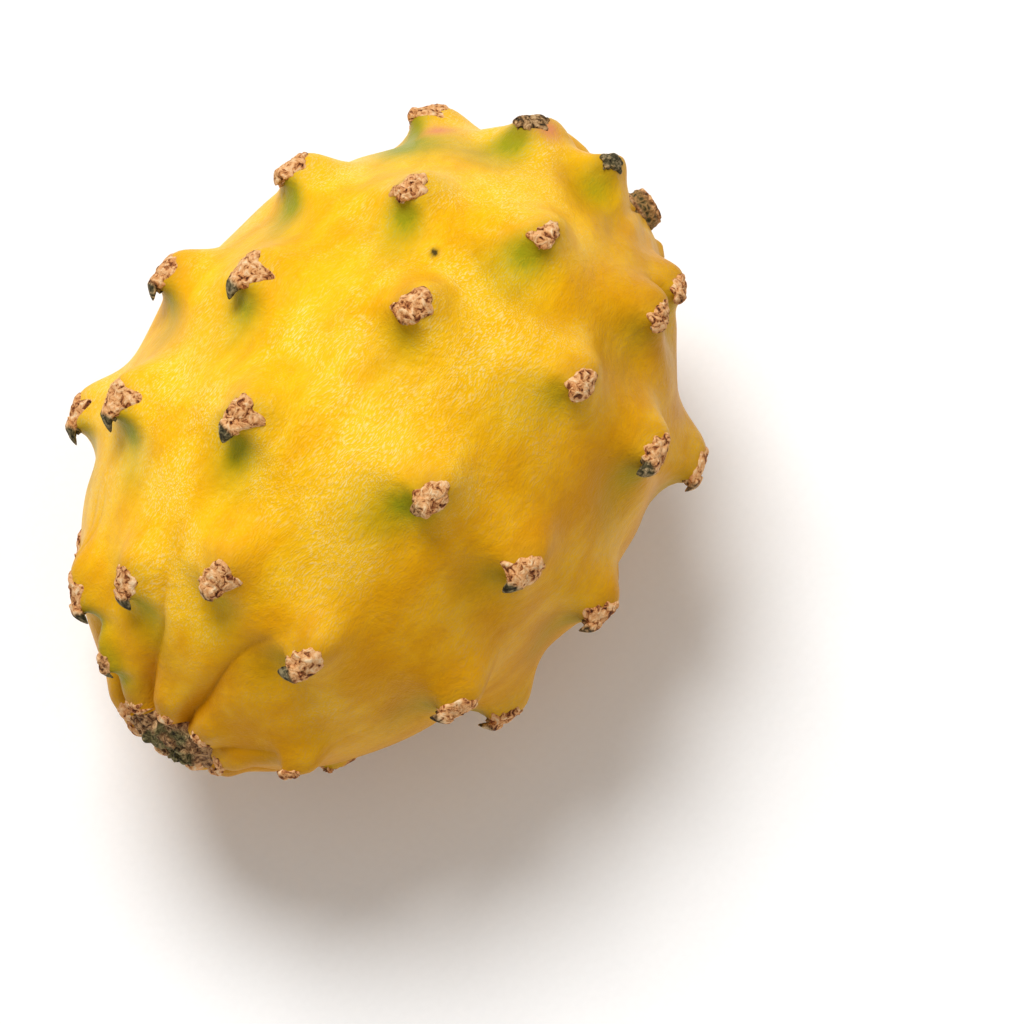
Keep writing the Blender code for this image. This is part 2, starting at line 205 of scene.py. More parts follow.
# Cork shield on a hook: its reach behind, in front and to each side, and its two arms
SHIELD_BEHIND = 3.0 * MM
SHIELD_FRONT = 1.5 * MM
SHIELD_SIDE = 2.1 * MM
SHIELD_POWER = 1.8
ARM_LENGTH = 2.3 * MM
ARM_SPREAD = math.radians(18)
PATCH_EDGE = 0.12 * MM         # how deep a patch's edge and its underside lie in the rind
PATCH_UNDER = 0.45 * MM

# Claw: half sizes of its section, its drop at the tip, and where it starts and ends along its length
CLAW_WIDE = 1.5 * MM
CLAW_HIGH = 0.85 * MM
CLAW_DROP = 0.62
CLAW_START = -0.55
CLAW_END = 0.985
CLAW_ROUGHNESS = 4 / 9         # as a share of its half sizes

# Grids: rows along the fruit or outwards, columns round
RIND_ROWS = 224
RIND_COLUMNS = 440
HOOK_ROWS = 13
HOOK_COLUMNS = 64
CLAW_ROWS = 16
CLAW_COLUMNS = 18
SCAR_ROWS = 54
SCAR_COLUMNS = 180
STUB_ROWS = 60
STUB_COLUMNS = 80
UNDER_ROWS = 3
CONTACT = 0.15 * MM            # what lies on the table is squeezed into this
DIRECTION_STEP = 1e-3
WALK_STEPS = 721
STEEPEST = 30.0                # keeps a soft edge's exponent in range
LATTICE_SIZE = 32
LATTICE = np.random.default_rng(5).random((LATTICE_SIZE,) * 3)

# Camera at the photograph's angle: its right, up and back
CAMERA_AXES = np.array([(0.6328, -0.7743, 0.0), (0.7409, 0.6055, 0.2905), (-0.2250, -0.1838, 0.9569)])
CAMERA_DISTANCE = 0.80
CAMERA_LENS = 196.9            # mm
SENSOR_WIDTH = 36.0            # mm
PIXELS_PER_METRE = 7000.0
FRUIT_PIXEL = (383.0, 447.0)   # where the fruit's long axis is in the picture
IMAGE_MIDDLE = 512.0

# Lights: direction in the camera's right, up and back, distance and size
KEY_LIGHT = ((-0.20, 0.64, 0.74), 1.5, 0.75)
FILL_LIGHT = ((0.75, -0.5, 0.5), 0.7, 0.5)
SURROUND_COLOUR = (1.0, 0.99, 0.97)
FLOOR_HALF = 3.0


def linear(code):
    """Linear red, green and blue of an sRGB hex code."""
    values = [int(code[start:start + 2], 16) / 255 for start in (0, 2, 4)]
    return tuple(v / 12.92 if v <= 0.04045 else ((v + 0.055) / 1.055) ** 2.4 for v in values)


def noise(points, cell):
    """Smooth noise from 0 to 1: seeded random values on a lattice of that cell, eased between corners."""
    at = points / cell
    low = np.floor(at).astype(int)
    part = at - low
    part = part * part * (3 - 2 * part)
    total = np.zeros(points.shape[:-1])
    for corner in itertools.product((0, 1), repeat=3):
        weight = np.prod(np.where(corner, part, 1 - part), axis=-1)
        spot = (low + corner) % LATTICE_SIZE
        total += weight * LATTICE[spot[..., 0], spot[..., 1], spot[..., 2]]
    return total


def ridged(points, cell):
    """Noise folded at its middle: 1 along thin lines and 0 in the cells between them."""
    return 1.0 - np.abs(2.0 * noise(points, cell) - 1.0)


def above(value, limit, edge):
    """0 under a limit and 1 over it, with a soft edge."""
    return 1.0 / (1.0 + np.exp(np.clip((limit - value) / edge, -STEEPEST, STEEPEST)))


def unit(vectors):
    """Vectors of length one."""
    return vectors / np.linalg.norm(vectors, axis=-1, keepdims=True)


def angles(count):
    """That many even angles round a full turn."""
    return np.arange(count) / count * TURN


def ring_noise(angle, radius, height, cell):
    """Noise on a ring or a tube, so that it closes after a full turn."""
    ring = np.stack([radius * np.cos(angle), radius * np.sin(angle), 0 * angle + height], axis=-1)
    return noise(ring, cell)


def rings(top):
    """Shares of the reach from the middle out along the top and back underneath, and which are under."""
    share = np.concatenate([top, np.linspace(0.97, 0.3, UNDER_ROWS)])[:, None]
    return share, (np.arange(len(share)) >= len(top))[:, None]


def body_point(phi, theta):
    """Point of the plain ovoid: phi runs from the flower pole (0) to the stem pole (pi)."""
    along = -np.cos(phi)
    to_flower = along < 0
    x = np.where(to_flower, FLOWER_HALF, STEM_HALF) * along
    radius = BODY_RADIUS * np.abs(np.sin(phi)) ** np.where(to_flower, FLOWER_TAPER, STEM_TAPER)
    bow = np.where(
        to_flower,
        FLOWER_BOW * np.abs(along) ** FLOWER_BOW_POWER,
        STEM_BOW * (np.abs(along) ** STEM_BOW_POWER - STEM_BOW_BACK * along ** 2)
        + STEM_TIP_BOW * np.exp(-((BODY_RADIUS * np.sin(phi) / STEM_TIP_REACH) ** 2)),
    )
    turned = TILT_BACK + radius * (TILT_UP * np.sin(theta) - TILT_SIDEWAYS * np.cos(theta))
    x = x + turned * np.exp(-((phi / TILT_REACH) ** 2))
    y = radius * np.cos(theta) + bow * math.cos(BOW_ANGLE)
    z = radius * np.sin(theta) + bow * math.sin(BOW_ANGLE)
    return np.stack([x + 0 * y, y, z], axis=-1)


def body_frame(phi, theta):
    """Point, direction towards the flower end, direction round the fruit, outward normal."""
    step = DIRECTION_STEP
    inner = np.clip(phi, 2 * step, math.pi - 2 * step)
    forward = unit(body_point(inner - step, theta) - body_point(inner + step, theta))
    round_it = np.stack([0 * theta, -np.sin(theta), np.cos(theta)], axis=-1)
    normal = unit(np.cross(forward, round_it))
    outward = np.stack([0 * theta, np.cos(theta), np.sin(theta)], axis=-1) * np.sin(phi)[..., None]
    outward[..., 0] -= np.cos(phi)
    sign = np.sign(np.sum(normal * outward, axis=-1, keepdims=True))
    return body_point(phi, theta), forward, round_it, normal * sign


def skin_length(phi):
    """Length of skin for one radian of phi, and the radius there."""
    half = np.where(phi < math.pi / 2, FLOWER_HALF, STEM_HALF)
    return np.hypot(half * np.sin(phi), BODY_RADIUS * np.cos(phi)), BODY_RADIUS * np.sin(phi)


def skin_walk():
    """Phi in even steps from pole to pole, and the distance walked along the skin to each."""
    table = np.linspace(0.0, math.pi, WALK_STEPS)
    metric, _ = skin_length(table)
    return table, np.concatenate([[0.0], np.cumsum((metric[1:] + metric[:-1]) / 2 * np.diff(table))])


def phi_at(distance):
    """The phi a distance along the skin from the widest section, + to the stem end."""
    table, walked = skin_walk()
    return np.interp(distance, walked - np.interp(math.pi / 2, table, walked), table)


def tubercles():
    """Every tubercle as a dict: key, phi, theta, height, scale and how much of a hook it has."""
    draw = random.Random(SEED)
    found = []
    for whorl in range(WHORL_FIRST, WHORL_LAST + 1):
        for place in range(PER_WHORL):
            theta = WHORL_PHASE + WHORL_TURN * whorl + TURN * place / PER_WHORL
            height = TUBERCLE_HEIGHT * (1 + HEIGHT_SPREAD * draw.uniform(-1, 1))
            step, turn = STEP_SPREAD * draw.uniform(-1, 1), TURN_SPREAD * draw.uniform(-1, 1)
            key = (whorl, place)
            if key in MOVES or key in BEARERS:
                step, turn = BEARERS.get(key, MOVES.get(key))
                step, turn = step * MM, math.radians(turn)
            phi = float(phi_at(WHORL_STEP * whorl + step))
            theta = (theta + turn) % TURN
            if key in BEARERS:
                reach = (TABLE_DEPTH + BEARER_SINK) / abs(math.sin(theta))
                height = reach - math.hypot(*body_point(np.array(phi), np.array(theta))[1:])
            scale = (1.0 - SHRINK * max(0, abs(whorl) - FULL_WHORL)) * SIZES.get(key, 1.0)
            found.append(dict(
                key=key, phi=phi, theta=theta, height=height * scale, scale=scale, hooked=1.0))
    between = [math.radians((before + after) / 2) for before, after in zip(FOLDS_AT, FOLDS_AT[1:])]
    for kind, phi, height, hooked, places in (
        ("rim", RIM_PHI, RIM_HEIGHT, 0.0, between),
        ("late", LATE_PHI, LATE_HEIGHT, SMALL_HOOK, [LATE_THETA]),
        ("stem", STEM_RING_PHI, STEM_RING_HEIGHT, 0.0, STEM_RING),
    ):
        found += [dict(key=(kind, number), phi=phi, theta=theta, height=height, scale=SMALL_SCALE,
                       hooked=hooked) for number, theta in enumerate(places)]
    return found


# Hooks that show in the photograph: (claw's share of its full length, its aim in degrees,
# arm on the side of growing theta, arm on the other side)
HOOKS = {
    (0, 0): (1.0, -8, 1.1, 0.0), (-3, 1): (1.0, -10, 1.0, 0.0), (1, 0): (0.3, 0, 0.3, 0.4),
    (-2, 1): (0.7, -25, 0.3, 0.3), (4, 2): (0.3, 0, 0.3, 0.8), (5, 2): (0.35, 20, 0.1, 0.9),
    (2, 0): (0.5, 10, 0.2, 0.4), (-4, 1): (1.0, 0, 1.0, 0.0), (-5, 1): (1.0, 0, 0.6, 0.2),
    (-7, 2): (1.0, 18, 0.2, 0.1), (-6, 2): (0.7, -12, 0.7, 0.2), (-5, 2): (1.0, -28, 0.2, 0.3),
    (-8, 2): (0.9, 5, 0.5, 0.3), (3, 2): (0.6, -5, 0.2, 0.6), (-1, 0): (0.9, 0, 0.3, 0.3),
    (6, 1): (0.4, 0, 0.6, 0.6), (7, 1): (0.2, 0, 0.3, 0.3), (8, 1): (0.15, 0, 0.3, 0.2),
    (6, 2): (0.5, 10, 0.3, 0.4), (7, 2): (0.6, 0, 0.3, 0.4), (-8, 0): (0.5, 0, 0.3, 0.3),
}

# Which way the two arms of the cork point, from the way to the flower end
ARM_WAYS = (math.radians(116), math.radians(-62))
# Size of the cork against the tubercle's, and how horny and green it is
CAPS = {(5, 2): 0.7, (4, 2): 0.85, (2, 0): 0.8, (-2, 1): 0.92, (6, 2): 0.75, (7, 2): 0.85, (7, 1): 0.8,
        (8, 1): 0.75, (-8, 0): 0.6, (-3, 1): 0.92}
HORNY = {(7, 1): 0.6, (8, 1): 0.85, (6, 1): 0.1, ("late", 0): 0.35}

PLACES = tubercles()
WHORLED = [spot for spot in PLACES if spot["key"][0] not in ("rim", "stem")]
RIM = [spot for spot in PLACES if spot["key"][0] == "rim"]


def each(spots, key):
    """One value of every tubercle, 0 where it has none."""
    return np.array([spot.get(key, 0.0) for spot in spots])


def local(spot, phi, theta):
    """Distances on the skin from a tubercle's lip: along towards the flower end, across sideways."""
    metric, radius = skin_length(np.array(spot["phi"]))
    turn = (theta - spot["theta"] + math.pi) % TURN - math.pi
    return (spot["phi"] - phi) * metric, turn * radius


def swelling(along, across, scale):
    """Height of a tubercle of height 1.

    The side falls off as a narrow and a broad bell across the lip. The back rises as half a bell and
    stays level on the crest. The front drops steeply and leaves a low keel. The lip line curves
    towards the flower end with the square of the distance across.
    """
    a = along - SWEEP * across ** 2
    side = (1 - BROAD_SHARE) * np.exp(-((across / (LIP_WIDTH * scale)) ** 2))
    side = side + BROAD_SHARE * np.exp(-((across / (TUBERCLE_WIDTH * scale)) ** 2))
    back = np.exp(-((np.minimum(a + CREST_LENGTH, 0.0) / (BACK_LENGTH * scale)) ** 2))
    widths = np.minimum(np.abs(across) / TUBERCLE_WIDTH, FRONT_SPREAD_END)
    fall = FRONT_LENGTH * scale * (1.0 + FRONT_SPREAD * widths)
    front = np.exp(-((np.maximum(a - FRONT_AT, 0.0) / fall) ** FRONT_POWER))
    keel = np.exp(-((np.maximum(a, 0.0) / KEEL_LENGTH) ** 2))
    return side * back * ((1 - KEEL_SHARE) * front + KEEL_SHARE * keel)


def bell(along, across, at, length, width):
    """A bump of height 1 on the skin, at a distance in front of a lip."""
    return np.exp(-(((along - at) / length) ** 2) - (across / width) ** 2)


def fold_number(phi, theta):
    """Where a place is between the folds, whole numbers being in a fold, and its degrees round the
    fruit. The folds turn a little on their way up from the scar."""
    way = 1.0 - np.exp(-np.maximum(phi - FOLD_TWIST_FROM, 0.0) / FOLD_TWIST_REACH)
    around = np.degrees(theta - FOLD_TWIST * way) % 360.0
    around = np.where(around < FOLDS_AT[0], around + 360.0, around)
    return np.interp(around, FOLDS_AT, np.arange(len(FOLDS_AT))), around


def fold_wave(phi, theta):
    """How far down in a fold a place is, 0 to 1: a high power of the cosine of its number."""
    number, around = fold_number(phi, theta)
    wave = np.abs(np.cos(number * math.pi)) ** FOLD_SHARPNESS * np.interp(around, FOLDS_AT, FOLD_SHARES)
    reach = np.clip(1.0 - phi / FOLD_REACH, 0.0, 1.0) ** FOLD_FADE
    return wave * reach * above(phi, SCAR_PHI, SCAR_EDGE)


def crease(phi, theta):
    """How far down in a narrow crease a place is, 0 to 1: it falls off at once on both sides of the line
    in the middle of each fold, and the line wanders a little on its way up from the scar."""
    number, around = fold_number(phi, theta)
    nearest = np.round(number)
    line = np.interp(nearest, np.arange(len(FOLDS_AT)), FOLDS_AT)
    line = line + CREASE_WANDER * np.sin(phi * CREASE_WAVES + nearest * 2.4)
    distance = np.radians(np.abs(around - line)) * BODY_RADIUS * np.sin(phi)
    reach = np.clip(1.0 - phi / FOLD_REACH, 0.0, 1.0) ** 0.8
    reach = reach * np.interp(around, FOLDS_AT, FOLD_SHARES) ** 0.5
    return np.exp(-distance / CREASE_WIDTH) * reach * above(phi, SCAR_PHI, SCAR_EDGE)


def shoulders(phi, theta):
    """Height of the broad swellings of the body, each a bell in phi and theta."""
    total = np.zeros_like(phi)
    for height, at_phi, at_theta, reach_phi, reach_theta in SHOULDERS:
        lengthways = (np.degrees(phi) - at_phi) / reach_phi
        sideways = ((np.degrees(theta) - at_theta + 180.0) % 360.0 - 180.0) / reach_theta
        total += height * np.exp(-(lengthways ** 2) - sideways ** 2)
    return total


def skin(phi, theta):
    """Skin point: the ovoid raised by its tubercles, less the hollows in front of them and the folds,
    with each lip drawn a little towards the flower end, slow unevenness of two sizes on it all, and
    low ridges at the stem end."""
    point, forward, _, normal = body_frame(phi, theta)
    total = np.zeros_like(phi)
    shift = np.zeros_like(point)
    raised = np.zeros_like(phi)
    for spot in PLACES:
        scale = spot["scale"]
        along, across = local(spot, phi, theta)
        total += (spot["height"] * swelling(along, across, scale)) ** TUBERCLE_BLEND
        root = bell(along, across, LIP_AT * scale, LIP_ROOT * scale, LIP_ROOT_WIDTH * scale)
        root = root * spot["hooked"]
        shift += forward * (LIP_PULL * scale * root)[..., None]
        shift -= normal * (LIP_DROP * scale * root ** 2)[..., None]
        if spot["key"] not in SMOOTH_FRONTS:
            raised -= spot["height"] * HOLLOW * bell(
                along, across, HOLLOW_AT * scale, HOLLOW_LENGTH * scale, HOLLOW_WIDTH * scale)
    raised += total ** (1 / TUBERCLE_BLEND) + shoulders(phi, theta)
    raised -= FOLD_DEPTH * fold_wave(phi, theta) + CREASE_DEPTH * crease(phi, theta)
    raised -= SCAR_FLATTENED * np.maximum(1.0 - (phi / SCAR_PHI) ** 2, 0.0)
    for height, cell in UNEVEN:
        raised += height * (noise(point, cell) - 0.5)
    ridges = ring_noise(theta, RIDGE_RING, RIDGE_STRETCH * phi, RIDGE_CELL) - 0.5
    raised += RIDGE_HEIGHT * ridges * above(phi, RIDGES_FROM, RIDGES_EDGE)
    return point + normal * raised[..., None] + shift - CENTRE


def skin_frame(phi, theta):
    """Skin point and the true outward normal there, from points a small step away."""
    step = DIRECTION_STEP
    along = skin(phi + step, theta) - skin(phi - step, theta)
    turned = step / np.maximum(np.sin(phi), 0.05)
    over = skin(phi, theta + turned) - skin(phi, theta - turned)
    normal = unit(np.cross(over, along))
    _, _, _, outward = body_frame(phi, theta)
    sign = np.sign(np.sum(normal * outward, axis=-1, keepdims=True))
    return skin(phi, theta), normal * np.where(sign == 0, 1, sign)


def on_table(points):
    """Points with whatever is under the contact height squeezed above the table, in the same order."""
    low = points[..., 2] < CONTACT
    squeezed = CONTACT * np.exp(np.minimum((points[..., 2] - CONTACT) / CONTACT, 0.0) / 4)
    points[..., 2] = np.where(low, squeezed, points[..., 2])
    return points


def linked(name, data, axes=None, position=None):
    """A new object in the scene, its X, Y and Z turned along the axes and moved to the position."""
    made = bpy.data.objects.new(name, data)
    if axes is not None:
        made.matrix_world = Matrix.Translation(position) @ Matrix(np.transpose(axes).tolist()).to_4x4()
    bpy.context.scene.collection.objects.link(made)
    return made


def closed_mesh(name, groups, material):
    """One mesh of closed shells, smooth shaded, with its faces pointing outwards.

    A group is (points, tints): points is shells by rows by columns by 3, each row a ring, and the
    middle of the first and of the last ring closes the shell. Tints are named numbers of each point.
    """
    corners, faces, tints, start = [], [], {}, 0
    for points, marks in groups:
        count, rows, columns, _ = points.shape
        ends = np.stack([points[:, 0].mean(axis=1), points[:, -1].mean(axis=1)], axis=1)
        block = np.concatenate([points.reshape(count, rows * columns, 3), ends], axis=1)
        corners.append(on_table(block).reshape(-1, 3))
        for key, values in marks.items():
            caps = np.stack([values[:, 0].mean(axis=1), values[:, -1].mean(axis=1)], axis=1)
            flat = np.concatenate([values.reshape(count, rows * columns), caps], axis=1)
            tints.setdefault(key, []).append(flat.ravel())
        cell = np.arange(rows * columns).reshape(rows, columns)
        after = np.roll(cell, -1, axis=1)
        quads = np.stack([cell[:-1], cell[1:], after[1:], after[:-1]], axis=-1).reshape(-1, 4)
        first = np.stack([np.full(columns, rows * columns), cell[0], after[0]], axis=-1)
        last = np.stack([np.full(columns, rows * columns + 1), after[-1], cell[-1]], axis=-1)
        a, b, c, d = (block[0][quads[:, k]] for k in range(4))
        volume = np.sum(a * np.cross(b, c)) + np.sum(a * np.cross(c, d))
        if volume < 0:
            quads, first, last = quads[:, ::-1], first[:, ::-1], last[:, ::-1]
        offsets = start + np.arange(count)[:, None, None] * (rows * columns + 2)
        for part in (quads, first, last):
            faces += (part[None] + offsets).reshape(-1, part.shape[1]).tolist()
        start += count * (rows * columns + 2)
    mesh = bpy.data.meshes.new(name)
    mesh.from_pydata(np.concatenate(corners), [], faces)
    for key, values in tints.items():
        mesh.attributes.new(key, "FLOAT", "POINT").data.foreach_set("value", np.concatenate(values))
    mesh.shade_smooth()
    mesh.materials.append(material)
    return linked(name, mesh)


def dressed(piece):
    """Rides the piece on the fruit's only body."""
    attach(piece, "root")


# Properties that most nodes of a kind have here, and the output that is used where it isn't the first
USUAL = {"Mix": {"data_type": "RGBA"}, "Math": {"operation": "MULTIPLY_ADD"}}
OUTPUTS = {"Mix": 2, "Attribute": "Fac", "TexCoord": "Object"}


def rgba(colour):
    """Linear colour with its alpha, from an sRGB hex code or three linear values."""
    return (*(linear(colour) if isinstance(colour, str) else colour), 1.0)


def fill(node, links):
    """Fills a node's inputs, which are named or numbered, with values, colours or links."""
    for key, value in links.items():
        socket = node.inputs[key]
        if isinstance(value, bpy.types.NodeSocket):
            node.id_data.links.new(value, socket)
        else:
            socket.default_value = rgba(value) if socket.type == "RGBA" else value


def add_node(tree, kind, links=None, out=None, **settings):
    """Adds a shader node with its inputs and properties, and returns the output that is used.

    The stops of a ramp are pairs of a position and a colour. Mix nodes mix colours, and sums with no
    operation named are input 0 times input 1 plus input 2.
    """
    node = tree.nodes.new("ShaderNode" + kind)
    for key, value in {**USUAL.get(kind, {}), **settings}.items():
        if key == "stops":
            elements = node.color_ramp.elements
            while len(elements) < len(value):
                elements.new(0.5)
            for element, (position, colour) in zip(elements, value):
                element.position = position
                element.color = rgba(colour)
        else:
            setattr(node, key, value)
    fill(node, links or {})
    return node.outputs[OUTPUTS.get(kind, 0) if out is None else out]


def principled(name, inputs):
    """A new material, its Principled shader with those inputs, the function that adds nodes to it,
    and the place in metres."""
    made = bpy.data.materials.new(name)
    made.use_nodes = True
    shader = made.node_tree.nodes["Principled BSDF"]
    fill(shader, inputs)
    add = functools.partial(add_node, made.node_tree)
    return made, shader, add, add("TexCoord")


def bent(add, place, scale, detail, amount):
    """The place moved about by a noise of that scale, by up to half the amount."""
    swirl = add("TexNoise", {"Vector": place, "Scale": scale, "Detail": detail}, out="Color")
    centred = add("VectorMath", {0: swirl, 1: (0.5, 0.5, 0.5)}, operation="SUBTRACT")
    return add("VectorMath", {0: centred, 1: (amount,) * 3, 2: place}, operation="MULTIPLY_ADD")


def rind_material(look):
    """Ripe waxy cactus fruit rind: a satin cuticle over fine short fibres, golden, with green left under
    the hooks, pale fibres gathered into patches of painted sheen, and dark orange gold painted shade in the
    folds."""
    made, shader, add, place = principled("ripe_waxy_cactus_rind", {
        "Roughness": look.rind_roughness, "IOR": 1.42, "Specular IOR Level": 0.14,
        "Specular Tint": (1.0, 0.8, 0.35)})
    # Fibres about 0.2 mm wide and 0.7 mm long, along X but for slow swirls of 7 mm
    swirled = bent(add, place, 140.0, 1.0, 0.0026)
    stretched = add("Mapping", {"Vector": swirled, "Scale": (0.3, 1.0, 1.0)})
    fibre = add("TexNoise", {
        "Vector": stretched, "Scale": 4600.0, "Detail": 1.5, "Roughness": 0.6})
    # Slow patches of 12 mm and streaks along the fruit, 4 mm wide, between the darker gold and lemon
    patches = add("TexNoise", {"Vector": place, "Scale": 80.0, "Detail": 4.0, "Roughness": 0.55})
    lengthways = add("Mapping", {"Vector": swirled, "Scale": (0.25, 1.0, 1.0)})
    streaks = add("TexNoise", {
        "Vector": lengthways, "Scale": 240.0, "Detail": 3.0, "Roughness": 0.6})
    ripe = add("Math", {0: streaks, 1: 0.7, 2: patches})
    gold = add("ValToRGB", {"Fac": ripe}, stops=(
        (0.66, look.deep_gold), (0.84, look.gold), (1.0, look.lemon)))
    # Pale fibres, more of them in some patches as painted sheen
    strokes = add("MapRange", {"Value": fibre, "From Min": 0.49, "From Max": 0.69, "To Max": 0.8})
    sheen_patches = add("MapRange", {
        "Value": patches, "From Min": 0.42, "From Max": 0.60, "To Min": 0.15, "To Max": 1.15})
    pale_fibres_and_sheen = add("Math", {0: strokes, 1: sheen_patches}, operation="MULTIPLY")
    colour = add("Mix", {0: pale_fibres_and_sheen, 6: gold, 7: "FFE08C"})
    # Tints that follow the shape, painted shade among them, more of them where the rind is less ripe and on
    # single fibres
    unripe = add("Math", {0: ripe, 1: -1.1, 2: 1.6})
    ragged = add("Math", {0: fibre, 1: 0.6, 2: unripe})
    for key, tint in (("deep", look.shade_amber), ("green", look.green), ("scorch", look.scorch),
                      ("blush", look.blush), ("speck", "4A3A18")):
        mark = add("Attribute", attribute_name=key)
        share = add("Math", {0: mark, 1: ragged}, operation="MULTIPLY", use_clamp=True)
        colour = add("Mix", {0: share, 6: colour, 7: tint})
    # Pores of 1.2 mm and the fibres stand in low relief
    pores = add("TexNoise", {"Vector": swirled, "Scale": 800.0, "Detail": 3.0})
    relief = add("Math", {0: fibre, 1: 0.45, 2: pores})
    bump = add("Bump", {"Strength": 0.5, "Distance": 0.0005, "Height": relief})
    fill(shader, {"Base Color": colour, "Normal": bump})
    return made


def cork_material(look):
    """Dry corky scab: tan and pinkish flakes with pale ridges and dark pits, quite matt. The claw on a
    hook is horny and grey green."""
    made, shader, add, place = principled("dry_corky_scab", {
        "Roughness": 0.82, "IOR": 1.4, "Specular IOR Level": 0.2})
    # Flakes of 1 mm from pits to pale ridges; the palest stop is partly painted highlight on the ridges
    flakes = add("TexNoise", {
        "Vector": place, "Scale": 1050.0, "Detail": 4.0, "Roughness": 0.6, "Distortion": 0.7})
    tan = add("ValToRGB", {"Fac": flakes}, stops=(
        (0.34, "4A2414"), (0.41, look.cork_dark), (0.48, look.cork), (0.57, look.cork_pale),
        (0.68, "F7D6AA")))
    # Pits and short splits, dark red brown, in some places and all along the front edge
    splits = add("TexNoise", {
        "Vector": place, "Scale": 900.0, "Detail": 2.0, "Roughness": 0.5, "Distortion": 0.8},
        noise_type="RIDGED_MULTIFRACTAL")
    split = add("MapRange", {"Value": splits, "From Min": 0.72, "From Max": 0.95})
    places = add("TexNoise", {"Vector": place, "Scale": 800.0, "Detail": 1.0})
    some = add("MapRange", {"Value": places, "From Min": 0.44, "From Max": 0.58, "To Max": 0.9})
    front = add("Attribute", attribute_name="front")
    most = add("Math", {0: some, 1: front}, operation="MAXIMUM")
    dark = add("Math", {0: split, 1: most}, operation="MULTIPLY", use_clamp=True)
    pitted = add("Mix", {0: dark, 6: tan, 7: "3A1D10"})
    # Horn towards the tip, with a border that follows the flakes
    tip = add("Attribute", attribute_name="tip")
    horn = add("ValToRGB", {"Fac": flakes}, stops=(
        (0.34, "201C12"), (0.48, look.claw), (0.64, "A0906A")))
    ragged = add("Math", {0: flakes, 1: -2.2, 2: 1.1})
    reached = add("Math", {0: tip, 1: 1.6, 2: -0.3})
    horny = add("Math", {0: reached, 1: ragged}, operation="ADD", use_clamp=True)
    both = add("Mix", {0: horny, 6: pitted, 7: horn})
    height = add("Math", {0: dark, 1: -0.8, 2: flakes})
    bump = add("Bump", {"Strength": 0.9, "Distance": 0.0006, "Height": height})
    fill(shader, {"Base Color": both, "Normal": bump})
    return made


def scar_material(look):
    """Withered flower tissue: dry olive brown shreds with dark gaps and tan edges, matt."""
    made, shader, add, place = principled("withered_flower_tissue", {
        "Roughness": 0.85, "IOR": 1.4, "Specular IOR Level": 0.3})
    # Shreds of 1 mm
    shreds = add("TexNoise", {
        "Vector": place, "Scale": 950.0, "Detail": 4.0, "Roughness": 0.7, "Distortion": 1.4})
    body = add("ValToRGB", {"Fac": shreds}, stops=(
        (0.35, "2C2216"), (0.46, look.scar), (0.56, "8E8454"), (0.66, "CBAA7C")))
    # Tan and reddish brown in patches of 3 mm, and all along the rim
    patch = add("TexNoise", {"Vector": place, "Scale": 300.0, "Detail": 2.0})
    rim = add("Attribute", attribute_name="rim")
    both = add("Math", {0: rim, 1: 0.2, 2: patch})
    where = add("MapRange", {"Value": both, "From Min": 0.47, "From Max": 0.62, "To Max": 0.85})
    brown = add("ValToRGB", {"Fac": shreds}, stops=(
        (0.36, "3E2112"), (0.48, "9A6840"), (0.62, look.cork_pale)))
    tanned = add("Mix", {0: where, 6: body, 7: brown})
    bump = add("Bump", {"Strength": 1.0, "Distance": 0.0008, "Height": shreds})
    fill(shader, {"Base Color": tanned, "Normal": bump})
    return made


def stub_material(look):
    """Dried stem: a net of tan brown ridges round dark pits of 0.9 mm, tan along its rims."""
    made, shader, add, place = principled("dried_stem", {
        "Roughness": 0.8, "IOR": 1.4, "Specular IOR Level": 0.3})
    swirled = bent(add, place, 900.0, 2.0, 0.0008)
    cells = add("TexVoronoi", {"Vector": swirled, "Scale": 1150.0, "Randomness": 0.9},
                feature="DISTANCE_TO_EDGE")
    net = add("ValToRGB", {"Fac": cells}, stops=(
        (0.0, "A67E4C"), (0.14, "7A6236"), (0.30, "423C1E"), (0.5, "23200F")))
    # Flakes of 0.7 mm on the rims
    rim = add("Attribute", attribute_name="rim")
    flakes = add("TexNoise", {"Vector": place, "Scale": 1400.0, "Detail": 3.0})
    brown = add("ValToRGB", {"Fac": flakes}, stops=(
        (0.38, "5A2F18"), (0.50, "A87246"), (0.62, look.cork_pale)))
    share = add("Math", {0: rim, 1: 0.8}, operation="MULTIPLY", use_clamp=True)
    both = add("Mix", {0: share, 6: net, 7: brown})
    bump = add("Bump", {"Strength": 0.9, "Distance": 0.0006, "Height": cells}, invert=True)
    fill(shader, {"Base Color": both, "Normal": bump})
    return made


